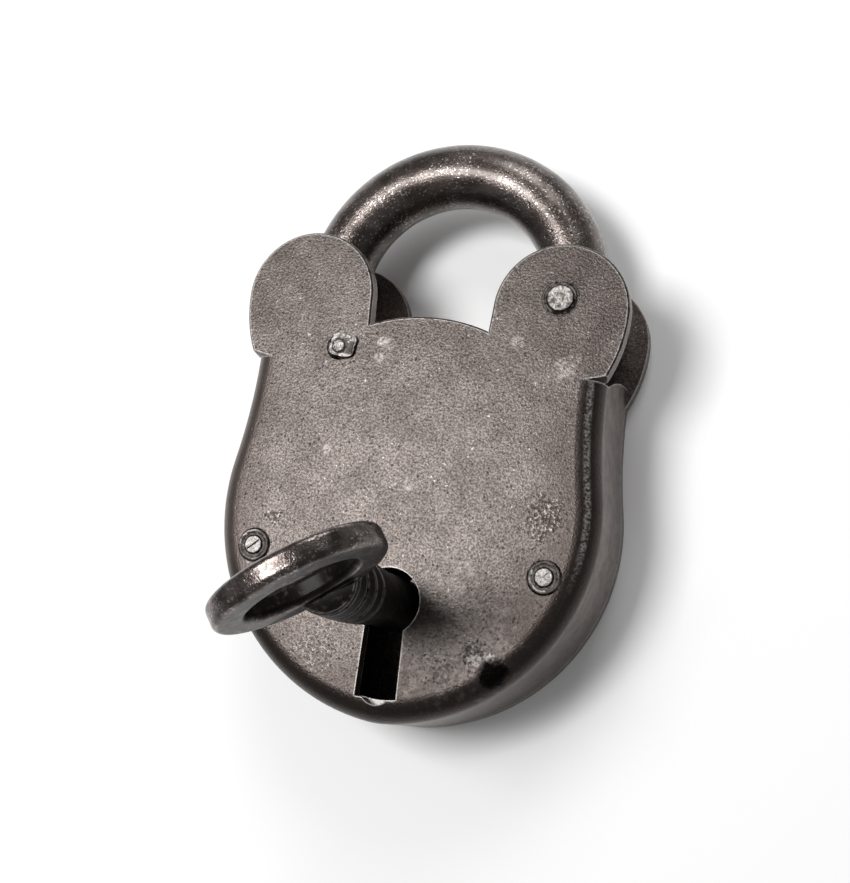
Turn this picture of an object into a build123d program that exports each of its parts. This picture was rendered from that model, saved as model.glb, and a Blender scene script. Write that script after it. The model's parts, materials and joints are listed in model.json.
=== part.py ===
from build123d import *
import os
from math import asin, atan2, cos, degrees, hypot, radians, sin, sqrt

# A riveted lever padlock lying on its back.  Millimetres.
# Origin: on the back face, under the middle of the belly's widest line.
# +X to the hinge side, +Y towards the shackle's crown, +Z out of the front face.

# ---------------------------------------------------------------- case
case_depth = 22.2            # back face to front face
front_thickness = 2.3
back_thickness = 2.3
wall_thickness = 2.2
front_round = 3.8            # rolled edge between the front face and the side wall
belly_half_width = 32.0
flank_easing = 2.0           # flank below the widest line: radius over the half width
shoulder_easing = 0.65       # the same for the outward curve above the widest line
belly_foot_radius = 15.5     # foot of the belly, slightly pointed
waist_depth = 2.05           # waist narrower than the belly, each side
waist_drop = 0.5             # narrowest line below the top end of the side wall
roll_run_out = 1.3           # rolled edge fades into the ear over this length
wall_tongue_rise = 3.3       # hinge side's wall reaches higher beside the back plate
wall_tongue_depth = 15.5     # over which it falls to the other side's level
wall_tongue_shoulder = 2.5   # its rise half way along that depth

# ---------------------------------------------------------------- ears
ear_height = 34.2            # ear centres above the belly's widest line
ear_inset = 10.5             # ear centres inside the belly's widest half
ear_radius = 11.1
wall_top_drop = 10.9         # top end of the side wall, below the ear centres
root_inset = 0.25            # corner where an ear's inner edge meets the crown
root_drop = 4.15
crown_rise = 1.8
ear_edge_break = 0.35        # worn front edge of ears and crown
crown_wall_inset = 0.6
crown_wall_thickness = 1.6
crown_wall_leg = 3.0
cut_margin = 1.0             # how far cutting shapes run past what they cut

# ---------------------------------------------------------------- shackle
rod_diameter = 11.0
arch_rise = 4.5              # arch's centre above the ear centres
pivot_inset = 0.2
pivot_rise = 2.0
pivot_rivet_radius = 3.0
hub_radius = 7.6
hub_round = 1.2
toe_tip_drop = 20.2          # toe's end below the ear centres
toe_notch_depth = 4.6
toe_flare_length = 5.0       # over which the rod's end widens to the toe
toe_corner_round = 2.2
toe_relief_margin = 1.2      # the relief for the guide rivet ends this far above it
swing_clearance = 0.35       # between turning or sliding pieces and the case
running_clearance = 0.06     # radial, pins in their holes
face_clearance = 0.1         # between flat faces that slide

# ---------------------------------------------------------------- rivets
guide_rivet_inset = 6.7      # from the left ear's centre
guide_rivet_drop = 8.45
guide_rivet_radius = 1.75
guide_head_radius = 2.35
guide_head_height = 1.05     # an uneven lump, struck twice
guide_head_drift = 1.0       # how far its first blow spread it aside
case_rivet_inset = 7.55      # from the belly's widest half
case_rivet_y = -8.3
case_rivet_radius = 1.6
case_head_radius = 2.7
case_head_height = 0.7
pivot_disc_radius = 2.4      # hammered middle of the shackle rivet
pivot_disc_rise = 0.45
pivot_groove_width = 0.3     # round that middle
pivot_groove_depth = 0.35
head_edge_break = 0.35
pin_edge_break = 0.35
tail_flare = 0.8             # countersunk rivet tails, flush with the back face

# ---------------------------------------------------------------- key
key_axis_y = -14.8
key_turn = 235.2             # from the keyhole's slot round to the rest pose
barrel_radius = 4.3
swell_bottom = 28.5          # the barrel swells above this height
swell_middle = 42.0
swell_radius = 5.05          # at that height
barrel_end_radius = 4.85
barrel_end_rise = 3.5        # barrel's end above the lowest line of the bow
barrel_end_break = 0.25
drill_pin_radius = 2.2
drill_pin_top = 17.8
drill_pin_taper = 0.8
drill_bore_gap = 1.5         # end of the pin to the end of the barrel's bore
key_tip_gap = 0.3            # barrel to the back plate
bit_tip_gap = 0.15           # lower edge of the bit above the barrel's end
bit_radius = 14.6
bit_thickness = 4.6
bit_top = 17.2
bow_bottom = 46.7            # above the back face
bow_half_length = 13.35
bow_half_height = 10.7
bow_band = 4.9
bow_thickness = 3.8
bow_edge_round = 1.0
bow_offset = -1.3            # the bow sits a little off the barrel's axis
ring_count = 4
ring_start = 0.9             # first turned groove below the barrel's end
ring_pitch = 3.6
ring_depth = 0.45
keyhole_radius = 5.35
keyhole_slot_width = 6.3
keyhole_slot_reach = 15.3
keyhole_flare = 0.6          # slot filed wider at its foot, towards the hinge side
keyhole_ward_radius = 2.65
keyhole_ward_reach = 16.25
keyhole_ward_drift = 0.2
keyhole_corner_round = 0.25

# ---------------------------------------------------------------- bolt
bolt_travel = 5.0
bolt_thickness = 4.0
bar_bottom = 0.3
bar_height = 9.0
bar_overhang = 5.0           # past the lever post
nose_bar_height = 5.5
nose_drop = 13.8             # nose below the ear centres
nose_gap = 0.8               # withdrawn nose to the toe
nose_length = 5.7
nose_depth = 13.4
nose_bar_right = 9.0
upright_width = 6.0
horn_width = 6.0
horn_rise = 4.8              # horn's lower end above the key's axis
bolt_corner_round = 0.6
guide_stud_radius = 1.85
stump_x = 15.0
stump_y = 5.5
stump_radius = 1.4
stump_rise = 0.5             # above the top lever
bolt_leaf_thickness = 0.6
bolt_leaf_radius = 4.8
bolt_leaf_tip_drop = 0.8     # strip's end below the top of the nose bar
bolt_leaf_bar_gap = 1.85     # its bend above the bar
bolt_leaf_wrap = 150.0       # degrees round the anchor
leaf_side_gap = 0.3          # strip narrower than the bolt, each side
anchor_radius = 1.6
anchor_drop = 0.6            # anchor below the top of the nose bar
anchor_head_reach = 0.9
anchor_head_height = 0.7

# ---------------------------------------------------------------- levers
lever_post_x = -17.0
lever_post_y = 3.0
lever_post_radius = 2.0
post_head_reach = 1.0
post_head_height = 1.2
washer_play = 0.05           # each side of a washer
washer_inset = 0.8           # smaller than the lever's boss
lever_count = 4
lever_thickness = 1.8
lever_gap = 0.5
lever_drop = 6.0             # degrees, between lifted and resting
lever_boss_radius = 4.6
lever_shoulder_reach = 14.0  # shoulder of the upper edge, from the post
lever_shoulder_rise = 6.6
lever_back_reach = 22.0      # start of the level upper edge
lever_back_rise = 10.4
lever_back_end = 5.5         # its end, past the stump
lever_tip_rise = 1.5         # upper corner of the tip above the stump
lever_keel_rise = 8.0        # lowest edge, beside the belly, above the key's axis
lever_keel_left = 3.0        # left and right ends of that edge, from the stump
lever_keel_right = 1.5
lever_tip_step = 4.5         # where the tip's lower edge begins, past the stump
lever_steps = [1.0, 2.4, 1.6, 3.0]   # how far each lever's step lies inside the bit's tip
belly_clearance = 0.35
belly_relief = 0.85          # the belly is struck from a centre this far off the key's
pocket_size = 5.0
tip_right = 24.0
tip_bottom = 3.4
stop_pin_radius = 1.5
stop_pin_inset = 2.5         # from the tip of the levers
leaf_thickness = 0.5
leaf_inset = 0.2             # strip narrower than the lever, each side
leaf_foot_reach = 8.0        # where the strip is set into the lever, from the post
leaf_foot_rise = 3.8
leaf_straight = 3.6          # from there up to its bend
leaf_end_length = 3.5

# ---------------------------------------------------------------- derived
front_inner = case_depth - front_thickness
case_gap = front_inner - back_thickness
case_middle = back_thickness + case_gap / 2
rod_radius = rod_diameter / 2
inner_width = case_gap - 2 * swing_clearance

ear_half_spacing = belly_half_width - ear_inset
ear_outer_x = ear_half_spacing + ear_radius
wall_top = ear_height - wall_top_drop
root_half_width = ear_half_spacing - ear_radius - root_inset
root_height = ear_height - root_drop
arch_radius = ear_half_spacing
arch_height = ear_height + arch_rise
pivot_x = ear_half_spacing - pivot_inset
pivot_y = ear_height + pivot_rise
guide_rivet_x = guide_rivet_inset - ear_half_spacing
guide_rivet_y = ear_height - guide_rivet_drop
case_rivet_x = belly_half_width - case_rivet_inset
toe_tip_height = ear_height - toe_tip_drop
leg_inner_x = arch_radius - rod_radius
toe_flare_start = arch_height
toe_flare_end = toe_flare_start - toe_flare_length

belly_side_radius = belly_half_width + flank_easing
shoulder_radius = belly_half_width + shoulder_easing
neck_half_width = belly_half_width - waist_depth
neck_height = wall_top - waist_drop
side_centre_x = belly_half_width - belly_side_radius
foot_centre_y = -sqrt((belly_side_radius - belly_foot_radius) ** 2 - side_centre_x ** 2)
foot_angle = degrees(atan2(foot_centre_y, -side_centre_x))
shoulder_centre_x = belly_half_width - shoulder_radius
neck_gap = neck_half_width - shoulder_centre_x
neck_radius = (neck_gap ** 2 + neck_height ** 2 - shoulder_radius ** 2) / (2 * (shoulder_radius - neck_gap))
neck_centre_x = neck_half_width + neck_radius
shoulder_turn = degrees(atan2(neck_height, neck_centre_x - shoulder_centre_x))

crown_radius = (root_half_width ** 2 + crown_rise ** 2) / (2 * crown_rise)
crown_centre_y = root_height + crown_rise - crown_radius
flank_inset = ear_outer_x - neck_half_width
ear_flank_radius = (wall_top_drop ** 2 + flank_inset ** 2) / (2 * flank_inset)
flank_turn = degrees(asin(wall_top_drop / ear_flank_radius))

wall_corner = (neck_half_width - wall_thickness, wall_top)
inner_round = front_round - front_thickness
wall_corner_reach = hypot(pivot_x + wall_corner[0], pivot_y - wall_corner[1])
toe_sweep = wall_corner_reach - inner_round / 2 - swing_clearance
guide_rivet_reach = hypot(pivot_x - guide_rivet_x, pivot_y - guide_rivet_y)
toe_relief_radius = guide_rivet_reach + guide_rivet_radius + swing_clearance
toe_relief_top = guide_rivet_y + guide_rivet_radius + toe_relief_margin

key_rest = 270 - key_turn    # direction of the bit at rest, degrees from +X
bolt_bottom = back_thickness + face_clearance
bolt_top = bolt_bottom + bolt_thickness
bar_top = bar_bottom + bar_height
bar_left = lever_post_x - bar_overhang
nose_middle = ear_height - nose_drop
nose_bottom = nose_middle - nose_bar_height / 2
nose_top = nose_middle + nose_bar_height / 2
nose_tip_x = nose_gap - leg_inner_x
upright_left = bolt_travel + nose_gap / 2 - leg_inner_x
guide_slot_width = 2 * (guide_stud_radius + face_clearance)
post_slot_width = 2 * (lever_post_radius + face_clearance)
lever_pitch = lever_thickness + lever_gap
first_lever = bolt_top + lever_gap
levers_top = first_lever + lever_count * lever_pitch - lever_gap
seated = (Align.CENTER, Align.CENTER, Align.MIN)


def on_key(radius, angle, aside=0.0):
    """A point at a radius and direction from the key's axis, moved aside clockwise."""
    a = radians(angle)
    return (radius * cos(a) + aside * sin(a), key_axis_y + radius * sin(a) - aside * cos(a))


horn_face = on_key(bit_radius, key_rest, bit_thickness / 2)[0] + face_clearance
horn_right = horn_face + horn_width
horn_bottom = key_axis_y + horn_rise
lever_keel_y = key_axis_y + lever_keel_rise


def turned(x, y, angle):
    """The point (x, y) turned about the lever post."""
    a = radians(angle)
    dx = x - lever_post_x
    dy = y - lever_post_y
    return (lever_post_x + dx * cos(a) - dy * sin(a), lever_post_y + dx * sin(a) + dy * cos(a))


# ---------------------------------------------------------------- outlines
def belly_outline(inset, top):
    """Face of the case below a level top line, moved inwards by inset."""
    with BuildSketch() as belly:
        with BuildLine():
            foot_radius = belly_foot_radius - inset
            CenterArc((0, foot_centre_y), foot_radius, -90, foot_angle + 90)
            CenterArc((side_centre_x, 0), belly_side_radius - inset, foot_angle, -foot_angle)
            CenterArc((shoulder_centre_x, 0), shoulder_radius - inset, 0, shoulder_turn)
            neck_start = 180 + shoulder_turn
            neck = CenterArc((neck_centre_x, neck_height), neck_radius + inset, neck_start, -shoulder_turn)
            Polyline(neck @ 1, (neck_half_width - inset, top), (0, top))
            mirror(about=Plane.YZ)
        make_face()
    return belly.sketch


def ears_outline():
    """Face of a plate above the side wall: two round ears and the crown between."""
    with BuildSketch() as ears:
        with BuildLine():
            crown_angle = degrees(asin(root_half_width / crown_radius))
            CenterArc((0, crown_centre_y), crown_radius, 90, -crown_angle)
            Line((root_half_width, root_height), (ear_half_spacing - ear_radius, ear_height))
            CenterArc((ear_half_spacing, ear_height), ear_radius, 180, -180)
            flank = CenterArc((ear_outer_x - ear_flank_radius, ear_height), ear_flank_radius, 0, -flank_turn)
            Line(flank @ 1, (0, wall_top))
            mirror(about=Plane.YZ)
        make_face()
    return ears.sketch


def keyhole_outline():
    """Round hole for the barrel, slot for the bit and a small ward notch below it."""
    with BuildSketch() as keyhole:
        with Locations((0, key_axis_y)):
            Circle(keyhole_radius)
        with Locations((keyhole_ward_drift, key_axis_y - keyhole_ward_reach + keyhole_ward_radius)):
            Circle(keyhole_ward_radius)
        with BuildLine():
            slot_half = keyhole_slot_width / 2
            slot_foot = key_axis_y - keyhole_slot_reach
            Polyline(
                (-slot_half, key_axis_y), (-slot_half, slot_foot),
                (slot_half + keyhole_flare, slot_foot), (slot_half, key_axis_y), close=True,
            )
        make_face()
        foot_corners = keyhole.vertices().filter_by(lambda v: abs(v.Y - slot_foot) < 0.01)
        fillet(foot_corners, radius=keyhole_corner_round)
    return keyhole.sketch


# where each fixed pin passes the back plate: x, y, shank radius
spring_leg_x = nose_bar_right + face_clearance + bolt_leaf_thickness / 2
anchor_leg_x = spring_leg_x + 2 * bolt_leaf_radius
anchor_x = anchor_leg_x + bolt_leaf_thickness / 2 + anchor_radius
anchor_y = nose_top - anchor_drop
lowered_tip = turned(tip_right - stop_pin_inset, tip_bottom, -lever_drop)
stop_pin_x = lowered_tip[0]
stop_pin_y = lowered_tip[1] - stop_pin_radius - 2 * face_clearance
back_pins = [
    (pivot_x, pivot_y, pivot_rivet_radius),
    (guide_rivet_x, guide_rivet_y, guide_rivet_radius),
    (-case_rivet_x, case_rivet_y, case_rivet_radius),
    (case_rivet_x, case_rivet_y, case_rivet_radius),
    (0, key_axis_y, drill_pin_radius),
    (lever_post_x, lever_post_y, lever_post_radius),
    (0, nose_middle, guide_stud_radius),
    (stop_pin_x, stop_pin_y, stop_pin_radius),
    (anchor_x, anchor_y, anchor_radius),
]
front_pins = back_pins[:4]


def fixed_pin(x, y, radius, top, head):
    """A turned pin with a flush countersunk tail; head holds the points above its shank."""
    with BuildPart() as turned_pin:
        with BuildSketch(Plane(origin=(x, y, 0), x_dir=(1, 0, 0), z_dir=(0, -1, 0))):
            with BuildLine():
                tail = [(0, 0), (radius + tail_flare, 0), (radius, tail_flare)]
                Polyline(*tail, (radius, top), *head, (0, 0))
            make_face()
        revolve(axis=Axis((x, y, 0), (0, 0, 1)))
    return turned_pin.part


# ---------------------------------------------------------------- front shell
with BuildPart() as case_hollow:
    with BuildSketch(Plane.XY.offset(back_thickness - cut_margin)):
        add(belly_outline(wall_thickness, ear_height))
    extrude(amount=case_gap + cut_margin)
    inner_rim = case_hollow.faces().sort_by(Axis.Z)[-1].edges().sort_by(Axis.Y)[:-1]
    fillet(inner_rim, radius=inner_round)

with BuildPart() as front_shell:
    with BuildSketch(Plane.XY.offset(back_thickness)):
        add(belly_outline(0, wall_top))
    extrude(amount=case_depth - back_thickness)
    rolled_rim = front_shell.faces().sort_by(Axis.Z)[-1].edges().sort_by(Axis.Y)[:-1]
    fillet(rolled_rim, radius=front_round)
    add(case_hollow.part, mode=Mode.SUBTRACT)
    with BuildSketch(Plane.YZ.offset(neck_half_width - wall_thickness)):
        with BuildLine():
            tongue_start = (wall_top, back_thickness + wall_tongue_depth)
            tongue_shoulder = (wall_top + wall_tongue_shoulder, back_thickness + wall_tongue_depth / 2)
            tongue_end = (wall_top + wall_tongue_rise, back_thickness)
            ThreePointArc(tongue_start, tongue_shoulder, tongue_end)
            Polyline(tongue_end, (wall_top, back_thickness), tongue_start)
        make_face()
    extrude(amount=wall_thickness)
    with BuildSketch(Plane.XY.offset(front_inner)):
        add(ears_outline())
    extrude(amount=front_thickness)
    with BuildSketch(Plane.XY.offset(front_inner)):
        add(keyhole_outline())
    extrude(amount=front_thickness, mode=Mode.SUBTRACT)
    for x, y, radius in front_pins:
        with Locations((x, y, front_inner)):
            Cylinder(radius, front_thickness, align=seated, mode=Mode.SUBTRACT)
    ear_edges = front_shell.edges().group_by(Axis.Z)[-1].filter_by(
        lambda e: e.center().Y > wall_top + 0.01 and not e.is_closed
    )
    chamfer(ear_edges, length=ear_edge_break)
    # the rolled edge fades out at the foot of each ear
    with BuildPart(mode=Mode.PRIVATE) as run_out:
        flat_end = neck_half_width - front_round
        roll_foot = case_depth - front_round
        with BuildSketch(Plane(origin=(0, wall_top, 0), x_dir=(1, 0, 0), z_dir=(0, -1, 0))) as roll_section:
            with BuildLine():
                CenterArc((flat_end, roll_foot), front_round, 0, 90)
                Polyline(
                    (flat_end, case_depth),
                    (flat_end, case_depth + cut_margin),
                    (neck_half_width + cut_margin, case_depth + cut_margin),
                    (neck_half_width + cut_margin, roll_foot),
                    (neck_half_width, roll_foot),
                )
            make_face()
        fade_height = case_depth + ear_edge_break
        fade_point = Vertex(neck_half_width + cut_margin, wall_top + roll_run_out, fade_height)
        loft(sections=[roll_section.sketch, fade_point])
        mirror(about=Plane.YZ)
    add(run_out.part, mode=Mode.SUBTRACT)

# ---------------------------------------------------------------- back plate
with BuildPart() as back_plate:
    with BuildSketch():
        add(belly_outline(0, wall_top))
        add(ears_outline())
    extrude(amount=back_thickness)
    for x, y, radius in back_pins:
        with Locations((x, y, 0)):
            Cone(radius + tail_flare, radius, tail_flare, align=seated, mode=Mode.SUBTRACT)
            Cylinder(radius, back_thickness, align=seated, mode=Mode.SUBTRACT)

# ---------------------------------------------------------------- wall between the ears
with BuildPart() as crown_wall:
    crown_outer = crown_radius - crown_wall_inset
    crown_inner = crown_outer - crown_wall_thickness
    leg_x = root_half_width + crown_wall_thickness / 2
    with BuildSketch(Plane.XY.offset(back_thickness)):
        with Locations((0, crown_centre_y)):
            Circle(crown_outer)
            Circle(crown_inner, mode=Mode.SUBTRACT)
        with Locations((0, root_height)):
            Rectangle(2 * leg_x + crown_wall_thickness, ear_radius, mode=Mode.INTERSECT)
        leg_top = crown_centre_y + sqrt(crown_inner ** 2 - leg_x ** 2)
        with Locations((-leg_x, leg_top), (leg_x, leg_top)):
            Rectangle(crown_wall_thickness, crown_wall_leg, align=(Align.CENTER, Align.MAX))
    extrude(amount=case_gap)

# ---------------------------------------------------------------- shackle
with BuildPart() as shackle:
    with BuildLine(Plane.XY.offset(case_middle)) as rod_line:
        Line((arch_radius, pivot_y), (arch_radius, arch_height))
        CenterArc((0, arch_height), arch_radius, 0, 180)
    with BuildSketch(Plane.XZ.offset(-pivot_y)):
        with Locations((arch_radius, case_middle)):
            Circle(rod_radius)
    sweep(path=rod_line.wires()[0])
    # the hinge end: a round hub as wide as the gap between the plates
    with BuildSketch(Plane.XY.offset(case_middle)):
        with Locations((pivot_x, pivot_y)):
            Circle(hub_radius)
    extrude(amount=inner_width / 2, both=True)
    hub_rims = shackle.edges().filter_by(GeomType.CIRCLE).filter_by(
        lambda e: abs(e.radius - hub_radius) < 0.01
    )
    fillet(hub_rims, radius=hub_round)
    # the toe: widens from the round rod to the same width, behind the ears
    with BuildSketch(Plane.XZ.offset(-toe_flare_start)):
        with Locations((-arch_radius, case_middle)):
            Circle(rod_radius)
    with BuildSketch(Plane.XZ.offset(-toe_flare_end)):
        with Locations((-arch_radius, case_middle)):
            RectangleRounded(rod_diameter, inner_width, toe_corner_round)
    loft()
    with BuildSketch(Plane.XZ.offset(-toe_flare_end)):
        with Locations((-arch_radius, case_middle)):
            RectangleRounded(rod_diameter, inner_width, toe_corner_round)
    extrude(amount=toe_flare_end - toe_tip_height)
    # toe trimmed to swing past the side wall, relieved for the rivet, notched for the bolt
    with BuildSketch(Plane.XY.offset(back_thickness)):
        with Locations((-arch_radius, toe_tip_height)):
            Rectangle(2 * rod_diameter, pivot_y - toe_tip_height, align=(Align.CENTER, Align.MIN))
        with Locations((pivot_x, pivot_y)):
            Circle(toe_sweep, mode=Mode.SUBTRACT)
    extrude(amount=case_gap, mode=Mode.SUBTRACT)
    with BuildSketch(Plane.XY.offset(back_thickness)):
        with Locations((pivot_x, pivot_y)):
            Circle(toe_relief_radius)
        with Locations((-leg_inner_x, toe_relief_top)):
            relief_height = toe_relief_top - nose_bottom
            Rectangle(rod_diameter, relief_height, align=(Align.CENTER, Align.MAX), mode=Mode.INTERSECT)
    extrude(amount=case_gap, mode=Mode.SUBTRACT)
    with BuildSketch(Plane.XY.offset(back_thickness)):
        with Locations((-leg_inner_x - toe_notch_depth, nose_middle)):
            notch_height = nose_bar_height + 2 * swing_clearance
            Rectangle(rod_diameter, notch_height, align=(Align.MIN, Align.CENTER))
    extrude(amount=case_gap, mode=Mode.SUBTRACT)
    with Locations((pivot_x, pivot_y, case_middle)):
        Cylinder(pivot_rivet_radius + running_clearance, case_gap, mode=Mode.SUBTRACT)

# ---------------------------------------------------------------- rivets and pins
pivot_disc_top = case_depth + pivot_disc_rise
shackle_rivet = fixed_pin(
    pivot_x, pivot_y, pivot_rivet_radius, case_depth,
    [
        (pivot_disc_radius + pivot_groove_width, case_depth),
        (pivot_disc_radius, case_depth - pivot_groove_depth),
        (pivot_disc_radius, case_depth),
        (pivot_disc_radius - head_edge_break, pivot_disc_top),
        (0, pivot_disc_top),
    ],
)

first_blow_height = guide_head_height * 2 / 3
with BuildPart() as guide_rivet:
    add(fixed_pin(guide_rivet_x, guide_rivet_y, guide_rivet_radius, case_depth, [(0, case_depth)]))
    with BuildSketch(Plane.XY.offset(case_depth)):
        with Locations((guide_rivet_x, guide_rivet_y)):
            Circle(guide_head_radius)
        with Locations((guide_rivet_x + guide_head_drift, guide_rivet_y + guide_head_drift * 0.7)):
            Circle(guide_head_radius * 0.8)
    extrude(amount=first_blow_height)
    with BuildSketch(Plane.XY.offset(case_depth + first_blow_height)):
        with Locations((guide_rivet_x - guide_head_drift * 0.3, guide_rivet_y - guide_head_drift * 0.2)):
            Circle(guide_head_radius * 0.78)
    second_blow_height = guide_head_height - first_blow_height
    extrude(amount=second_blow_height)
    chamfer(guide_rivet.faces().sort_by(Axis.Z)[-1].edges(), length=second_blow_height * 0.7)

# case rivets: a raised ring round a hammered middle
groove_floor = case_depth + case_head_height * 0.4
ring_top = case_depth + case_head_height * 0.7
case_head_top = case_depth + case_head_height
case_head = [
    (case_head_radius, case_depth),
    (case_head_radius, groove_floor),
    (case_head_radius - head_edge_break, ring_top),
    (case_rivet_radius + head_edge_break, groove_floor),
    (case_rivet_radius, groove_floor),
    (case_rivet_radius - head_edge_break, case_head_top),
    (0, case_head_top),
]
case_rivet_left = fixed_pin(-case_rivet_x, case_rivet_y, case_rivet_radius, case_depth, case_head)
case_rivet_right = fixed_pin(case_rivet_x, case_rivet_y, case_rivet_radius, case_depth, case_head)

drill_pin = fixed_pin(
    0, key_axis_y, drill_pin_radius, drill_pin_top - drill_pin_taper,
    [(drill_pin_radius - drill_pin_taper, drill_pin_top), (0, drill_pin_top)],
)

post_head_base = levers_top + face_clearance
post_head_edge = post_head_base + post_head_height * 2 / 3
post_head_top = post_head_base + post_head_height
post_head_radius = lever_post_radius + post_head_reach
lever_post = fixed_pin(
    lever_post_x, lever_post_y, lever_post_radius, post_head_base,
    [
        (post_head_radius, post_head_base),
        (post_head_radius, post_head_edge),
        (lever_post_radius, post_head_top),
        (0, post_head_top),
    ],
)

guide_stud_top = front_inner - swing_clearance
bolt_guide_stud = fixed_pin(
    0, nose_middle, guide_stud_radius, guide_stud_top - pin_edge_break,
    [(guide_stud_radius - pin_edge_break, guide_stud_top), (0, guide_stud_top)],
)

lever_stop_pin = fixed_pin(
    stop_pin_x, stop_pin_y, stop_pin_radius, levers_top,
    [(stop_pin_radius - pin_edge_break, levers_top + pin_edge_break), (0, levers_top + pin_edge_break)],
)

anchor_head_base = bolt_top + leaf_side_gap
anchor_head_top = anchor_head_base + anchor_head_height
anchor_head_radius = anchor_radius + anchor_head_reach
spring_anchor = fixed_pin(
    anchor_x, anchor_y, anchor_radius, anchor_head_base,
    [(anchor_head_radius, anchor_head_base), (anchor_head_radius, anchor_head_top), (0, anchor_head_top)],
)

# ---------------------------------------------------------------- bolt
with BuildPart() as bolt:
    with BuildSketch(Plane.XY.offset(bolt_bottom)):
        with Locations((bar_left, bar_bottom)):
            Rectangle(horn_right - bar_left, bar_height, align=(Align.MIN, Align.MIN))
        with Locations((upright_left, bar_bottom)):
            Rectangle(upright_width, nose_top - bar_bottom, align=(Align.MIN, Align.MIN))
        with Locations((nose_tip_x, nose_middle)):
            Rectangle(nose_bar_right - nose_tip_x, nose_bar_height, align=(Align.MIN, Align.CENTER))
        with Locations((horn_face, bar_top)):
            Rectangle(horn_width, bar_top - horn_bottom, align=(Align.MIN, Align.MAX))
    extrude(amount=bolt_thickness)
    outer_corners = bolt.edges().filter_by(Axis.Z)
    fillet(outer_corners, radius=bolt_corner_round)
    with BuildSketch(Plane.XY.offset(bolt_bottom)) as nose:
        with Locations((nose_tip_x, nose_middle)):
            Rectangle(nose_length, nose_bar_height, align=(Align.MIN, Align.CENTER))
        fillet(nose.vertices(), radius=bolt_corner_round)
    extrude(amount=case_middle + nose_depth / 2 - bolt_bottom)
    with BuildSketch(Plane.XY.offset(bolt_bottom)):
        with Locations((bolt_travel / 2, nose_middle)):
            SlotCenterToCenter(bolt_travel, guide_slot_width)
        with Locations((lever_post_x + bolt_travel / 2, lever_post_y)):
            SlotCenterToCenter(bolt_travel, post_slot_width)
        with Locations((stump_x, stump_y)):
            Circle(stump_radius)
    extrude(amount=bolt_thickness, mode=Mode.SUBTRACT)

with BuildPart() as bolt_stump:
    with Locations((stump_x, stump_y, bolt_bottom)):
        Cylinder(stump_radius, levers_top + stump_rise - bolt_bottom, align=seated)
    chamfer(bolt_stump.edges().sort_by(Axis.Z)[-1], length=pin_edge_break)


def leaf_spring(path, thickness, width, height):
    """A flat strip of the given width along a wire in the plane z = height."""
    with BuildPart() as leaf:
        with BuildSketch(Plane.XY.offset(height)):
            trace(path, line_width=thickness)
        extrude(amount=width)
    return leaf.part


with BuildLine() as bolt_leaf_line:
    leg_bottom = bar_top + bolt_leaf_bar_gap + bolt_leaf_thickness / 2 + bolt_leaf_radius
    Line((spring_leg_x, nose_top - bolt_leaf_tip_drop), (spring_leg_x, leg_bottom))
    CenterArc((spring_leg_x + bolt_leaf_radius, leg_bottom), bolt_leaf_radius, 180, 180)
    Line((anchor_leg_x, leg_bottom), (anchor_leg_x, anchor_y))
    CenterArc((anchor_x, anchor_y), anchor_radius + bolt_leaf_thickness / 2, 180, -bolt_leaf_wrap)
bolt_leaf_width = bolt_thickness - 2 * leaf_side_gap
bolt_spring = leaf_spring(
    bolt_leaf_line.line, bolt_leaf_thickness, bolt_leaf_width, bolt_bottom + leaf_side_gap
)


# ---------------------------------------------------------------- levers
def lever_layer(index):
    """Lowest z of a lever, counted from the bolt side."""
    return first_lever + index * lever_pitch


stump_thrown = turned(stump_x - bolt_travel, stump_y, lever_drop)
gate_length = hypot(stump_thrown[0] - stump_x, stump_thrown[1] - stump_y)
gate_slope = degrees(atan2(stump_y - stump_thrown[1], stump_x - stump_thrown[0]))
gate_middle = ((stump_x + stump_thrown[0]) / 2, (stump_y + stump_thrown[1]) / 2)
leaf_foot_x = lever_post_x + leaf_foot_reach
leaf_foot_y = lever_post_y + leaf_foot_rise
lever_outline = [
    (lever_post_x, lever_post_y + lever_boss_radius),
    (lever_post_x + lever_shoulder_reach, lever_post_y + lever_shoulder_rise),
    (lever_post_x + lever_back_reach, lever_post_y + lever_back_rise),
    (stump_x + lever_back_end, lever_post_y + lever_back_rise),
    (tip_right, stump_y + lever_tip_rise),
    (tip_right, tip_bottom),
    (stump_x + lever_tip_step, tip_bottom),
    (stump_x + lever_keel_right, lever_keel_y),
    (stump_x - lever_keel_left, lever_keel_y),
    (lever_post_x, lever_post_y - lever_boss_radius),
]


def make_lever(index):
    """One lever in its lifted position, with its belly cut for its own step on the bit."""
    belly_radius = bit_radius - lever_steps[index] + belly_clearance
    with BuildPart() as lever:
        with BuildSketch(Plane.XY.offset(lever_layer(index))):
            with BuildLine():
                Polyline(*lever_outline, close=True)
            make_face()
            with Locations((lever_post_x, lever_post_y)):
                Circle(lever_boss_radius)
            with Locations(on_key(belly_relief, key_rest + 90)):
                Circle(belly_radius, mode=Mode.SUBTRACT)
            with Locations((lever_post_x, lever_post_y)):
                Circle(lever_post_radius + running_clearance, mode=Mode.SUBTRACT)
            with Locations((stump_x, stump_y), stump_thrown):
                Rectangle(pocket_size, pocket_size, mode=Mode.SUBTRACT)
            with Locations(gate_middle):
                gate_width = 2 * (stump_radius + swing_clearance)
                SlotCenterToCenter(gate_length, gate_width, rotation=gate_slope, mode=Mode.SUBTRACT)
            with Locations((leaf_foot_x, leaf_foot_y + lever_boss_radius / 2)):
                Rectangle(leaf_thickness, lever_boss_radius, mode=Mode.SUBTRACT)
        extrude(amount=lever_thickness)
    return lever.part


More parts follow.
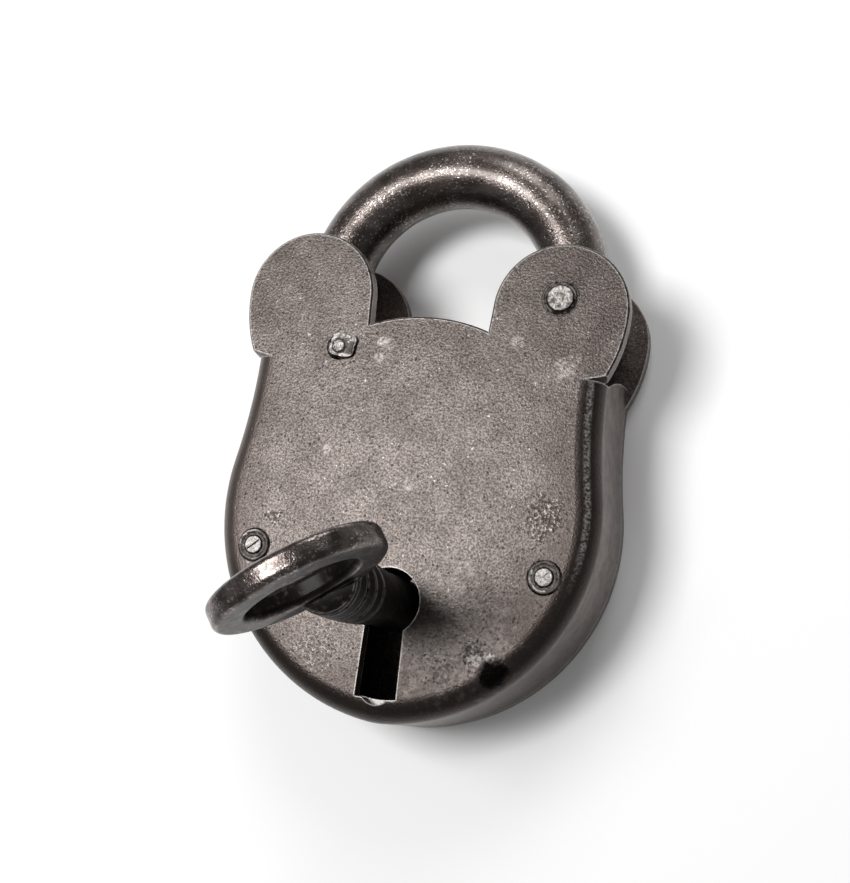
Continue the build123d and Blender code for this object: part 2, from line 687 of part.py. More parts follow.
leaf_bend_top = nose_middle - guide_stud_radius - leaf_thickness / 2 - face_clearance
with BuildLine() as lever_leaf_line:
    leaf_bend_start = leaf_foot_y + leaf_straight
    leaf_bend_radius = leaf_bend_top - leaf_bend_start
    leaf_bend_x = leaf_foot_x + leaf_bend_radius
    Line((leaf_foot_x, leaf_foot_y), (leaf_foot_x, leaf_bend_start))
    CenterArc((leaf_bend_x, leaf_bend_start), leaf_bend_radius, 180, -90)
    Line((leaf_bend_x, leaf_bend_top), (leaf_bend_x + leaf_end_length, leaf_bend_top))

levers = [make_lever(i) for i in range(lever_count)]
leaf_width = lever_thickness - 2 * leaf_inset
lever_springs = [
    leaf_spring(lever_leaf_line.line, leaf_thickness, leaf_width, lever_layer(i) + leaf_inset)
    for i in range(lever_count)
]


def make_washer(index):
    """The washer that spaces a lever from what lies below it on the post."""
    with BuildPart() as washer:
        with BuildSketch(Plane.XY.offset(lever_layer(index) - lever_gap + washer_play)):
            with Locations((lever_post_x, lever_post_y)):
                Circle(lever_boss_radius - washer_inset)
                Circle(lever_post_radius, mode=Mode.SUBTRACT)
        extrude(amount=lever_gap - 2 * washer_play)
    return washer.part


lever_washers = [make_washer(i) for i in range(lever_count)]

# ---------------------------------------------------------------- key
key_tip = back_thickness + key_tip_gap
bit_bottom = key_tip + bit_tip_gap
key_plane = Plane(
    origin=(0, key_axis_y, 0),
    x_dir=(cos(radians(key_rest)), sin(radians(key_rest)), 0),
    z_dir=(sin(radians(key_rest)), -cos(radians(key_rest)), 0),
)


def bit_outline():
    """Corner points of the bit: full reach for the bolt, then one step for each lever."""
    corners = [(0, bit_bottom), (bit_radius, bit_bottom)]
    reach = bit_radius
    for i in range(lever_count):
        level = lever_layer(i) - lever_gap / 2
        corners.append((reach, level))
        reach = bit_radius - lever_steps[i]
        corners.append((reach, level))
    corners.append((reach, bit_top))
    corners.append((0, bit_top))
    return corners


with BuildPart() as key_bow:
    with BuildSketch(key_plane):
        with Locations((bow_offset, bow_bottom + bow_half_height)):
            Ellipse(bow_half_length, bow_half_height)
            Ellipse(bow_half_length - bow_band, bow_half_height - bow_band, mode=Mode.SUBTRACT)
    extrude(amount=bow_thickness / 2, both=True)
    fillet(key_bow.edges(), radius=bow_edge_round)

with BuildPart() as key:
    with BuildSketch(Plane(origin=(0, key_axis_y, 0), x_dir=(1, 0, 0), z_dir=(0, -1, 0))):
        barrel_end = bow_bottom + barrel_end_rise
        with BuildLine():
            swell = ThreePointArc(
                (barrel_radius, swell_bottom), (swell_radius, swell_middle), (barrel_end_radius, barrel_end)
            )
            Polyline(
                (barrel_end_radius, barrel_end), (0, barrel_end),
                (0, key_tip), (barrel_radius, key_tip), (barrel_radius, swell_bottom),
            )
        make_face()
        for i in range(ring_count):
            along = 1 - (ring_start + i * ring_pitch) / swell.length
            with Locations(swell @ along):
                Circle(ring_depth, mode=Mode.SUBTRACT)
    revolve(axis=Axis((0, key_axis_y, 0), (0, 0, 1)))
    chamfer(key.faces().sort_by(Axis.Z)[-1].edges(), length=barrel_end_break)
    with BuildSketch(key_plane):
        with BuildLine():
            Polyline(*bit_outline(), close=True)
        make_face()
    extrude(amount=bit_thickness / 2, both=True)
    add(key_bow.part)
    with Locations((0, key_axis_y, key_tip)):
        bore_depth = drill_pin_top + drill_bore_gap - key_tip
        bore_radius = drill_pin_radius + running_clearance
        Cylinder(bore_radius, bore_depth, align=seated, mode=Mode.SUBTRACT)

# ---------------------------------------------------------------- labels and files
pieces = {
    "front_shell": front_shell.part,
    "back_plate": back_plate.part,
    "crown_wall": crown_wall.part,
    "shackle": shackle.part,
    "shackle_rivet": shackle_rivet,
    "guide_rivet": guide_rivet.part,
    "case_rivet_left": case_rivet_left,
    "case_rivet_right": case_rivet_right,
    "drill_pin": drill_pin,
    "lever_post": lever_post,
    "bolt_guide_stud": bolt_guide_stud,
    "lever_stop_pin": lever_stop_pin,
    "spring_anchor": spring_anchor,
    "bolt": bolt.part,
    "bolt_stump": bolt_stump.part,
    "bolt_spring": bolt_spring,
    "key": key.part,
}
for i in range(lever_count):
    pieces[f"lever_{i + 1}"] = levers[i]
    pieces[f"lever_spring_{i + 1}"] = lever_springs[i]
    pieces[f"lever_washer_{i + 1}"] = lever_washers[i]
os.makedirs("parts", exist_ok=True)
for name, piece in pieces.items():
    piece.label = name
    export_step(piece, f"parts/{name}.step")
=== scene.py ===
import json
import logging
import math
from dataclasses import dataclass, field, replace
from enum import Enum

import bmesh
import bpy
from mathutils import Matrix, Vector, noise


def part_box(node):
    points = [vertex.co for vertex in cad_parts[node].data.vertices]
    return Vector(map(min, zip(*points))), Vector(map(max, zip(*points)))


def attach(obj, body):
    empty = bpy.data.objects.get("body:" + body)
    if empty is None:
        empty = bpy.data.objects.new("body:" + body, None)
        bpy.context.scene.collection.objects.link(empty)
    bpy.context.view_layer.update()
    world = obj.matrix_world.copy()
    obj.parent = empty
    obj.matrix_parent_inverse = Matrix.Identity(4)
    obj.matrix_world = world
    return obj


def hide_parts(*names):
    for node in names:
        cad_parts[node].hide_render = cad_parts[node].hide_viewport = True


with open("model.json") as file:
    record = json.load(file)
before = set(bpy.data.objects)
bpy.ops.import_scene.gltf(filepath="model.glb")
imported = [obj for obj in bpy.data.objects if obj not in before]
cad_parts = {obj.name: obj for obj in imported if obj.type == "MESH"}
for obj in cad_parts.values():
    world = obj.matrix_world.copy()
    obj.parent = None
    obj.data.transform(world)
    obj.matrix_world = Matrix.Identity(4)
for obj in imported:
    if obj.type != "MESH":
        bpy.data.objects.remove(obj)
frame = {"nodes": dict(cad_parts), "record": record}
log = logging.getLogger("padlock")

MM = 0.001
# The rivet heads' brightness: hammered wear, with painted highlights, painted shadows and painted shade in
# their gaps.
WEAR_AND_LIGHT = "wear_and_light"  # the vertex attribute that says how bright a rivet's head is
FILM_ROUGHNESS = 0.2
WORN_SPECULAR = 0.1
Socket = bpy.types.NodeSocket
Point = tuple[float, float, float]
Colour = tuple[float, float, float]


# ------------------------------------------------------------------ node helpers
class Bench:
    """Adds nodes to one material or group and wires them up."""

    def __init__(self, tree: bpy.types.NodeTree) -> None:
        """Keeps the tree that the nodes go into.

        Args:
            tree: The node tree of a material or a group.
        """
        self.tree = tree

    def node(self, kind: str, **settings: object) -> bpy.types.Node:
        """Adds a node.

        Args:
            kind: The node's type name, such as ShaderNodeMath.
            **settings: Properties of the node and their values.

        Returns:
            The new node.
        """
        made = self.tree.nodes.new(kind)
        for name, value in settings.items():
            setattr(made, name, value)
        return made

    def feed(self, target: Socket, source: object) -> None:
        """Links a socket to the target, or sets the target's own value.

        Args:
            target: The input that is fed.
            source: A socket, a number, a vector or a colour.
        """
        if isinstance(source, bpy.types.NodeSocket):
            self.tree.links.new(source, target)
        elif isinstance(source, tuple) and len(source) == 3 and target.type == "RGBA":
            target.default_value = (*source, 1.0)
        else:
            target.default_value = source

    def calc(self, operation: str, *terms: object, clamp: bool = False) -> Socket:
        """Does one step of arithmetic.

        Args:
            operation: The Math node's operation.
            *terms: Sockets or numbers.
            clamp: Whether the result is kept between 0 and 1.

        Returns:
            The socket of the result.
        """
        step = self.node("ShaderNodeMath", operation=operation, use_clamp=clamp)
        for target, term in zip(step.inputs, terms):
            self.feed(target, term)
        return step.outputs[0]

    def times(self, *terms: object) -> Socket:
        """Multiplies values, from left to right.

        Args:
            *terms: Sockets or numbers, at least two.

        Returns:
            The socket of the product.
        """
        product = terms[0]
        for term in terms[1:]:
            product = self.calc("MULTIPLY", product, term)
        return product

    def ramp(self, value: Socket, low: float, high: float, out: tuple[float, float] = (0.0, 1.0)) -> Socket:
        """Smooth step from one level to another.

        Args:
            value: What is mapped.
            low: The value that gives the first output.
            high: The value that gives the second output.
            out: The two outputs.

        Returns:
            The mapped value.
        """
        step = self.node("ShaderNodeMapRange", interpolation_type="SMOOTHSTEP")
        for name, term in (("Value", value), ("From Min", low), ("From Max", high)):
            self.feed(step.inputs[name], term)
        step.inputs["To Min"].default_value = out[0]
        step.inputs["To Max"].default_value = out[1]
        return step.outputs["Result"]

    def noise(self, place: Socket, scale: object, detail: float = 3.0, roughness: float = 0.55) -> Socket:
        """Fractal noise between about 0.2 and 0.8.

        Args:
            place: Coordinates in metres.
            scale: Features per metre.
            detail: Octaves.
            roughness: Strength of the finer octaves.

        Returns:
            The noise value.
        """
        made = self.node("ShaderNodeTexNoise")
        self.feed(made.inputs["Vector"], place)
        self.feed(made.inputs["Scale"], scale)
        made.inputs["Detail"].default_value = detail
        made.inputs["Roughness"].default_value = roughness
        return made.outputs["Fac"]

    def mix(self, share: object, first: object, second: object) -> Socket:
        """Blends two colours.

        Args:
            share: How much of the second colour shows.
            first: Colour where share is 0.
            second: Colour where share is 1.

        Returns:
            The blended colour.
        """
        made = self.node("ShaderNodeMix", data_type="RGBA")
        self.feed(made.inputs[0], share)
        self.feed(made.inputs[6], first)
        self.feed(made.inputs[7], second)
        return made.outputs[2]

    def blend(self, share: object, first: object, second: object) -> Socket:
        """Blends two numbers.

        Args:
            share: How much of the second number shows.
            first: Number where share is 0.
            second: Number where share is 1.

        Returns:
            The blended number.
        """
        made = self.node("ShaderNodeMix", data_type="FLOAT")
        self.feed(made.inputs[0], share)
        self.feed(made.inputs[2], first)
        self.feed(made.inputs[3], second)
        return made.outputs[0]

    def shaded(self, colour: Socket, factor: Socket) -> Socket:
        """Makes a colour lighter or darker.

        Args:
            colour: The colour.
            factor: What it is multiplied by.

        Returns:
            The changed colour.
        """
        made = self.node("ShaderNodeMix", data_type="RGBA", blend_type="MULTIPLY")
        made.inputs[0].default_value = 1.0
        self.feed(made.inputs[6], colour)
        self.feed(made.inputs[7], factor)
        return made.outputs[2]

    def place(self) -> Socket:
        """Coordinates in metres in the object's own frame."""
        return self.node("ShaderNodeTexCoord").outputs["Object"]

    def facing(self) -> tuple[Socket, Socket, Socket]:
        """The normal's x, y and z in the object's own frame."""
        return self.split(self.node("ShaderNodeTexCoord").outputs["Normal"])

    def split(self, vector: Socket) -> tuple[Socket, Socket, Socket]:
        """Splits a vector.

        Args:
            vector: The vector.

        Returns:
            Its x, y and z.
        """
        made = self.node("ShaderNodeSeparateXYZ")
        self.feed(made.inputs[0], vector)
        return made.outputs[0], made.outputs[1], made.outputs[2]

    def along_y(self, low: float, high: float, out: tuple[float, float] = (0.0, 1.0)) -> Socket:
        """Smooth step along the lock's length.

        Args:
            low: The y in metres that gives the first output.
            high: The y in metres that gives the second output.
            out: The two outputs.

        Returns:
            The mapped value.
        """
        return self.ramp(self.split(self.place())[1], low, high, out)

    def ellipse(self, centre: Point, reach: Point) -> Socket:
        """Distance from a centre, as a share of the reach along each axis.

        Args:
            centre: The centre in metres.
            reach: The reach along x, y and z in metres.

        Returns:
            The distance, 1 where the reach ends.
        """
        held = self.node("ShaderNodeMapping", vector_type="TEXTURE")
        self.feed(held.inputs["Vector"], self.place())
        held.inputs["Location"].default_value = centre
        held.inputs["Scale"].default_value = reach
        away = self.node("ShaderNodeVectorMath", operation="LENGTH")
        self.feed(away.inputs[0], held.outputs["Vector"])
        return away.outputs["Value"]

    def use(self, group: bpy.types.NodeTree, **inputs: object) -> bpy.types.Node:
        """Places a node group.

        Args:
            group: The group.
            **inputs: Its inputs by name, with _ for a space.

        Returns:
            The group's node.
        """
        made = self.node("ShaderNodeGroup", node_tree=group)
        for name, value in inputs.items():
            self.feed(made.inputs[name.replace("_", " ")], value)
        return made


class Effects:
    """The surface effects that several finishes share, each a node group made once."""

    def __init__(self) -> None:
        """Makes every group."""
        self.grain = self._grain()
        self.wear = self._wear()
        self.spot = self._spot()
        self.pits = self._pits()
        self.flecks = self._flecks()
        self.scratches = self._scratches()

    @staticmethod
    def _open(name: str, inputs: dict[str, object], outputs: tuple[str, ...]) -> tuple[Bench, Socket, Socket]:
        """Starts a group.

        Args:
            name: The group's name.
            inputs: Input names with their usual values; a tuple makes a vector.
            outputs: Names of the values that it gives out.

        Returns:
            The bench, the inputs' sockets and the outputs' sockets.
        """
        tree = bpy.data.node_groups.new(name, "ShaderNodeTree")
        for label, usual in inputs.items():
            kind = "NodeSocketVector" if isinstance(usual, tuple) else "NodeSocketFloat"
            socket = tree.interface.new_socket(label, in_out="INPUT", socket_type=kind)
            socket.default_value = usual
        for label in outputs:
            tree.interface.new_socket(label, in_out="OUTPUT", socket_type="NodeSocketFloat")
        bench = Bench(tree)
        return bench, bench.node("NodeGroupInput").outputs, bench.node("NodeGroupOutput").inputs

    def _grain(self) -> bpy.types.NodeTree:
        """Broad mottling, fine speckle and their relief.

        Returns:
            The group.
        """
        bench, given, out = self._open(
            "grain", {"Mottle Scale": 260.0, "Speckle Scale": 3200.0}, ("Mottle", "Speckle", "Height")
        )
        place = bench.place()
        mottle = bench.noise(place, given["Mottle Scale"], 5.0, 0.62)
        speckle = bench.noise(place, given["Speckle Scale"], 3.0, 0.6)
        bench.feed(out["Mottle"], bench.ramp(mottle, 0.33, 0.67))
        bench.feed(out["Speckle"], bench.ramp(speckle, 0.34, 0.66))
        bench.feed(out["Height"], bench.calc("MULTIPLY_ADD", speckle, 0.8, bench.times(mottle, 0.2)))
        return bench.tree

    def _wear(self) -> bpy.types.NodeTree:
        """Bare metal along outer edges, broken up by noise.

        Returns:
            The group.
        """
        bench, given, out = self._open("wear", {"Radius": 0.0004, "Scale": 900.0}, ("Edge",))
        rounded = bench.node("ShaderNodeBevel", samples=6)
        bench.feed(rounded.inputs["Radius"], given["Radius"])
        true = bench.node("ShaderNodeNewGeometry")
        dot = bench.node("ShaderNodeVectorMath", operation="DOT_PRODUCT")
        bench.feed(dot.inputs[0], rounded.outputs["Normal"])
        bench.feed(dot.inputs[1], true.outputs["Normal"])
        edge = bench.ramp(bench.calc("SUBTRACT", 1.0, dot.outputs["Value"]), 0.01, 0.09)
        broken = bench.ramp(bench.noise(bench.place(), given["Scale"], 4.0, 0.65), 0.32, 0.52)
        bench.feed(out["Edge"], bench.calc("MULTIPLY", edge, broken, clamp=True))
        return bench.tree

    def _spot(self) -> bpy.types.NodeTree:
        """A ragged round patch about a point.

        Returns:
            The group.
        """
        bench, given, out = self._open(
            "spot", {"Centre": (0.0, 0.0, 0.0), "Radius": 0.002, "Ragged": 0.6, "Scale": 700.0}, ("Mask",)
        )
        place = bench.place()
        apart = bench.node("ShaderNodeVectorMath", operation="DISTANCE")
        bench.feed(apart.inputs[0], place)
        bench.feed(apart.inputs[1], given["Centre"])
        share = bench.calc("DIVIDE", apart.outputs["Value"], given["Radius"])
        rough = bench.calc("SUBTRACT", bench.noise(place, given["Scale"], 3.0, 0.55), 0.5)
        uneven = bench.calc("MULTIPLY_ADD", bench.times(rough, given["Ragged"]), 4.0, share)
        bench.feed(out["Mask"], bench.ramp(uneven, 1.05, 0.55))
        return bench.tree

    def _pits(self) -> bpy.types.NodeTree:
        """Small round pits.

        Returns:
            The group.
        """
        bench, given, out = self._open("pits", {"Scale": 1500.0, "Share": 0.3}, ("Pit",))
        cells = bench.node("ShaderNodeTexVoronoi", feature="F1")
        bench.feed(cells.inputs["Vector"], bench.place())
        bench.feed(cells.inputs["Scale"], given["Scale"])
        cells.inputs["Randomness"].default_value = 1.0
        hollow = bench.ramp(cells.outputs["Distance"], 0.34, 0.05)
        tint = bench.node("ShaderNodeSeparateColor")
        bench.feed(tint.inputs[0], cells.outputs["Color"])
        chosen = bench.calc("LESS_THAN", tint.outputs[0], given["Share"])
        bench.feed(out["Pit"], bench.times(hollow, chosen))
        return bench.tree

    def _flecks(self) -> bpy.types.NodeTree:
        """Scattered light flecks of uneven shape and size.

        Returns:
            The group.
        """
        bench, given, out = self._open("flecks", {"Scale": 1700.0, "Share": 0.69}, ("Fleck",))
        place = bench.place()
        fine = bench.noise(place, given["Scale"], 2.0, 0.5)
        broad = bench.noise(place, 210.0, 2.0, 0.5)
        above = bench.calc("SUBTRACT", bench.calc("MULTIPLY_ADD", broad, 0.25, fine), 0.125)
        bench.feed(out["Fleck"], bench.ramp(bench.calc("SUBTRACT", above, given["Share"]), 0.0, 0.08))
        return bench.tree

    def _scratches(self) -> bpy.types.NodeTree:
        """Short fine scratches along one direction.

        Returns:
            The group.
        """
        bench, given, out = self._open(
            "scratches", {"Turn": (0.0, 0.0, 0.0), "Scale": 1800.0, "Share": 0.64}, ("Scratch",)
        )
        turned = bench.node("ShaderNodeMapping")
        bench.feed(turned.inputs["Vector"], bench.place())
        bench.feed(turned.inputs["Rotation"], given["Turn"])
        turned.inputs["Scale"].default_value = (1.0, 0.035, 0.25)
        lines = bench.noise(turned.outputs["Vector"], given["Scale"], 1.0, 0.4)
        patches = bench.noise(bench.place(), 170.0, 2.0, 0.5)
        held = bench.ramp(patches, 0.48, 0.62)
        above = bench.calc("SUBTRACT", lines, given["Share"])
        bench.feed(out["Scratch"], bench.times(bench.ramp(above, 0.0, 0.04), held))
        return bench.tree


# ------------------------------------------------------------------ finishes
def new_material(name: str, metallic: float) -> tuple[bpy.types.Material, Bench, bpy.types.Node]:
    """Starts a material.

    Args:
        name: The material's name.
        metallic: How much of a metal it is.

    Returns:
        The material, its bench and its Principled BSDF.
    """
    material = bpy.data.materials.new(name)
    material.use_nodes = True
    bench = Bench(material.node_tree)
    shader = next(n for n in material.node_tree.nodes if n.type == "BSDF_PRINCIPLED")
    shader.inputs["Metallic"].default_value = metallic
    return material, bench, shader


@dataclass(frozen=True)
class Surface:
    """What a finish has built up so far: colour, roughness, height and the weight of a glossy film."""

    shade: Socket
    rough: Socket
    height: Socket
    gloss: object = 0.0

    def show(self, bench: Bench, shader: bpy.types.Node, depth: float) -> None:
        """Feeds the values to a shader.

        Args:
            bench: The material's bench.
            shader: Its Principled BSDF.
            depth: Depth of the relief in metres.
        """
        bench.feed(shader.inputs["Base Color"], self.shade)
        bench.feed(shader.inputs["Roughness"], self.rough)
        bench.feed(shader.inputs["Coat Weight"], self.gloss)
        shader.inputs["Coat Roughness"].default_value = FILM_ROUGHNESS
        bump = bench.node("ShaderNodeBump")
        bump.inputs["Strength"].default_value = 1.0
        bump.inputs["Distance"].default_value = depth
        bench.feed(bump.inputs["Height"], self.height)
        bench.feed(shader.inputs["Normal"], bump.outputs["Normal"])


class Mark(Enum):
    """What a patch of the front face looks like."""

    # Bright rubbed metal; the broad faint patches of this kind are painted light.
    RUB_AND_LIGHT = "bright rubbed metal"
    STAIN = "dark stain"
    PITTED = "rough pitted rust"
    DULL = "dull grey patch"


@dataclass(frozen=True)
class FaceMark:
    """One patch on the front face, in millimetres of the lock's frame."""

    kind: Mark
    x: float
    y: float
    radius: float
    strength: float = 1.0
    # Colour of the rubs and of the painted light in the broad faint ones.
    rubbed: Colour = (0.25, 0.226, 0.212)
    grey: Colour = (0.038, 0.032, 0.03)
    hollow: Colour = (0.014, 0.011, 0.01)
    crest: Colour = (0.21, 0.187, 0.174)
    black: Colour = (0.003, 0.002, 0.002)
    matt: float = 0.5
    lump_height: float = 3.0

    def lay(self, bench: Bench, effects: Effects, under: Surface) -> Surface:
        """Lays the patch over the face.

        Args:
            bench: The material's bench.
            effects: The shared effects.
            under: The surface so far.

        Returns:
            The surface with the patch.
        """
        centre = (self.x * MM, self.y * MM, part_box("front_shell")[1].z)
        ragged = 0.25 if self.kind is Mark.STAIN else 0.6
        spot = bench.use(effects.spot, Centre=centre, Radius=self.radius * MM, Ragged=ragged)
        mask = bench.times(spot.outputs["Mask"], self.strength)
        # Rubs; the broad faint ones paint light over the face.
        if self.kind is Mark.RUB_AND_LIGHT:
            mottled = bench.ramp(bench.noise(bench.place(), 1500.0, 4.0, 0.7), 0.36, 0.56)
            return replace(under, shade=bench.mix(bench.times(mask, mottled), under.shade, self.rubbed))
        if self.kind is Mark.DULL:
            broken = bench.ramp(bench.noise(bench.place(), 1300.0, 3.0, 0.6), 0.35, 0.6)
            return self._cover(bench, bench.times(mask, broken), self.grey, under)
        lumps = bench.calc("SUBTRACT", bench.noise(bench.place(), 1900.0, 2.0, 0.5), 0.5)
        raised = bench.calc("MULTIPLY_ADD", bench.times(lumps, mask), self.lump_height, under.height)
        under = replace(under, height=raised)
        if self.kind is Mark.STAIN:
            return self._cover(bench, mask, self.black, under)
        crests = bench.times(mask, bench.ramp(lumps, 0.04, 0.16))
        hollows = bench.times(mask, bench.ramp(lumps, 0.0, -0.1, (0.0, 0.9)))
        sunk = bench.mix(hollows, under.shade, self.hollow)
        return replace(under, shade=bench.mix(crests, sunk, self.crest))

    def _cover(self, bench: Bench, mask: Socket, colour: Colour, under: Surface) -> Surface:
        """Covers the face with a matt colour.

        Args:
            bench: The material's bench.
            mask: Where it is covered.
            colour: The colour.
            under: The surface so far.

        Returns:
            The covered surface.
        """
        shade = bench.mix(mask, under.shade, colour)
        rough = bench.blend(mask, under.rough, self.matt)
        return replace(under, shade=shade, rough=rough, gloss=bench.blend(mask, under.gloss, 0.0))


@dataclass(frozen=True)
class PatinaAndLight:
    """Dark patina and painted shade on the rim and the rolled edge, painted light on the wall and the left
    shoulder, and a bare worn line with a painted highlight on the right shoulder.

    Each start and end is a pair of places along y, in metres, that the change runs between.
    """

    strength: float = 0.85
    dark: Colour = (0.034, 0.0262, 0.0235)
    painted_wall_dim: Colour = (0.12, 0.092, 0.082)
    painted_wall_bright: Colour = (0.28, 0.222, 0.2)
    painted_shoulder_light: Colour = (0.145, 0.118, 0.107)
    face_centre: Point = (-0.0012, 0.004, 0.022)
    face_reach: Point = (0.0272, 0.033, 1.0)
    rim_stray: float = 0.24
    rim_end: tuple[float, float] = (0.022, 0.012)
    wall_start: tuple[float, float] = (-0.024, -0.006)
    shoulder_light_start: tuple[float, float] = (-0.02, -0.008)
    rub_and_highlight_start: tuple[float, float] = (-0.012, 0.0)

    def lay(self, bench: Bench, shade: Socket, bare: Colour) -> Socket:
        """Darkens the rim and the rolled edge with patina and painted shade, lightens the wall and the left
        shoulder with painted light, and lays a bare line with a painted highlight along the right shoulder.

        Args:
            bench: The material's bench.
            shade: Colour so far.
            bare: Colour of the bare metal.

        Returns:
            The aged colour.
        """
        uneven = bench.ramp(bench.noise(bench.place(), 420.0, 4.0, 0.6), 0.25, 0.55, (0.7, 1.0))
        # Dark patina and painted shade on the rolled edge and the rim.
        patina_and_shade = bench.times(bench.calc("MAXIMUM", self._roll(bench), self._rim(bench)), uneven)
        shade = bench.mix(bench.times(patina_and_shade, self.strength), shade, self.dark)
        clouds = bench.ramp(bench.noise(bench.place(), 420.0, 6.0, 0.7), 0.33, 0.66)
        # Painted light: the wall gets a lighter, clouded colour.
        shade = bench.mix(self._painted_wall(bench), shade, bench.mix(clouds, self.painted_wall_dim, self.painted_wall_bright))
        # Painted light on the left shoulder.
        shade = bench.mix(bench.times(self._painted_left_shoulder(bench), uneven), shade, self.painted_shoulder_light)
        # Bare worn line and painted highlight on the right shoulder.
        return bench.mix(self._right_wear_and_highlight(bench), shade, bare)

    @staticmethod
    def _roll(bench: Bench) -> Socket:
        """Where the rolled edge gets dark patina and painted shade: less so on the left and close to the
        face.

        Args:
            bench: The material's bench.

        Returns:
            The mask.
        """
        right, _, up = bench.facing()
        left = bench.ramp(right, -0.1, -0.4, (1.0, 0.15))
        kept = bench.ramp(up, 0.82, 0.9, (1.0, 0.3))
        return bench.times(bench.ramp(up, 0.998, 0.9), bench.ramp(up, 0.05, 0.25), bench.times(left, kept))

    def _rim(self, bench: Bench) -> Socket:
        """Where the face's rim below the ears gets dark patina and painted shade, with a straying border.

        Args:
            bench: The material's bench.

        Returns:
            The mask.
        """
        away = bench.calc("SUBTRACT", bench.ellipse(self.face_centre, self.face_reach), self.rim_stray / 2)
        stray = bench.noise(bench.place(), 300.0, 4.0, 0.6)
        reach = bench.calc("MULTIPLY_ADD", stray, self.rim_stray, away)
        return bench.times(bench.ramp(reach, 0.74, 1.08, (0.0, 0.82)), bench.along_y(*self.rim_end))

    def _painted_wall(self, bench: Bench) -> Socket:
        """Where the wall is painted a lighter, clouded colour as painted light: less so around the lock's
        lower end.

        Args:
            bench: The material's bench.

        Returns:
            The mask.
        """
        wall = bench.ramp(bench.facing()[2], 0.25, 0.05, (0.0, 0.75))
        return bench.times(wall, bench.along_y(*self.wall_start, (0.4, 1.0)))

    def _painted_left_shoulder(self, bench: Bench) -> Socket:
        """Where the left shoulder of the rolled edge is painted a lighter brown as painted light.

        Args:
            bench: The material's bench.

        Returns:
            The mask.
        """
        right, _, up = bench.facing()
        rolled = bench.times(bench.ramp(right, -0.03, -0.2), bench.ramp(up, 0.05, 0.25))
        fading = bench.ramp(right, -0.95, -0.6, (0.35, 0.9))
        return bench.times(rolled, fading, bench.along_y(*self.shoulder_light_start))

    def _right_wear_and_highlight(self, bench: Bench) -> Socket:
        """Where the upper right shoulder is rubbed bare in a broken line, which also stands for a painted
        highlight.

        Args:
            bench: The material's bench.

        Returns:
            The mask.
        """
        right, _, up = bench.facing()
        line = bench.times(bench.ramp(up, 0.76, 0.86), bench.ramp(up, 0.96, 0.9))
        side = bench.times(bench.ramp(right, 0.2, 0.3), bench.along_y(*self.rub_and_highlight_start))
        broken = bench.ramp(bench.noise(bench.place(), 2300.0, 3.0, 0.6), 0.34, 0.72, (0.0, 0.8))
        return bench.times(line, side, broken)


@dataclass(frozen=True)
class SheetSteel:
    """Old sheet steel: brown-grey, finely grained, rubbed bare along its edges."""

    name: str
    tone: Colour
    dark: Colour
    bare: Colour = (0.6, 0.565, 0.54)
    roughness: float = 0.3
    gloss: float = 0.03
    relief_depth: float = 0.00007
    speckling: tuple[float, float] = (0.62, 1.42)
    pit_share: float = 0.7
    fleck_share: float = 0.22
    metal: float = 0.85
    worn_metal: float = 0.1
    marks: tuple[FaceMark, ...] = ()
    patina_and_light: PatinaAndLight | None = None

    def build(self, effects: Effects) -> bpy.types.Material:
        """Makes the material.

        Args:
            effects: The shared effects.

        Returns:
            The material.
        """
        material, bench, shader = new_material(self.name, self.metal)
        grain = bench.use(effects.grain, Mottle_Scale=190.0, Speckle_Scale=2800.0)
        edge = bench.use(effects.wear).outputs["Edge"]
        pit = bench.use(effects.pits).outputs["Pit"]
        fleck = bench.use(effects.flecks).outputs["Fleck"]
        shade = bench.mix(grain.outputs["Mottle"], self.dark, self.tone)
        shade = bench.shaded(shade, bench.blend(grain.outputs["Speckle"], *self.speckling))
        shade = bench.mix(bench.times(pit, self.pit_share), shade, self.dark)
        shade = bench.mix(bench.times(fleck, self.fleck_share), shade, self.bare)
        if self.patina_and_light:
            shade = self.patina_and_light.lay(bench, shade, self.bare)
        rough = bench.blend(grain.outputs["Speckle"], self.roughness + 0.06, self.roughness)
        surface = Surface(shade, rough, grain.outputs["Height"], self.gloss)
        for mark in self.marks:
            surface = mark.lay(bench, effects, surface)
        height = bench.calc("MULTIPLY_ADD", pit, -0.5, surface.height)
        surface = replace(surface, shade=bench.mix(edge, surface.shade, self.bare), height=height)
        surface.show(bench, shader, self.relief_depth)
        bench.feed(shader.inputs["Metallic"], bench.blend(edge, self.metal, self.worn_metal))
        shader.inputs["Specular IOR Level"].default_value = WORN_SPECULAR
        return material


@dataclass(frozen=True)
class PaintedShade:
    """Painted shade inside the key's ring, on its sideways faces and on its barrel below the ring."""

    ring_centre: Point
    ring_reach: Point
    barrel_top: float
    shade_level: float = 0.12
    matt: float = 0.5

    def lay(self, bench: Bench, shade: Socket, rough: Socket, dark: Colour) -> tuple[Socket, Socket]:
        """Paints shade inside the ring, on the sideways faces and on everything below it.

        Args:
            bench: The material's bench.
            shade: Colour so far.
            rough: Roughness so far.
            dark: The iron's own dark colour.

        Returns:
            The colour and roughness with the painted shade.
        """
        # Painted shade: in the ring's opening under the upper band, on faces that turn sideways and on the
        # barrel below the ring.
        inside = bench.ramp(bench.ellipse(self.ring_centre, self.ring_reach), 1.16, 1.0)
        below = bench.ramp(bench.split(bench.place())[2], self.barrel_top, self.barrel_top - MM)
        sides = bench.ramp(bench.facing()[2], 0.3, 0.0, (0.0, 0.6))
        uneven = bench.ramp(bench.noise(bench.place(), 800.0, 4.0, 0.6), 0.25, 0.5, (0.75, 1.0))
        anywhere = bench.calc("MAXIMUM", bench.calc("MAXIMUM", inside, sides), below)
        share = bench.times(anywhere, uneven)
        shade_colour = tuple(level * self.shade_level for level in dark)
        return bench.mix(share, shade, shade_colour), bench.blend(share, rough, self.matt)


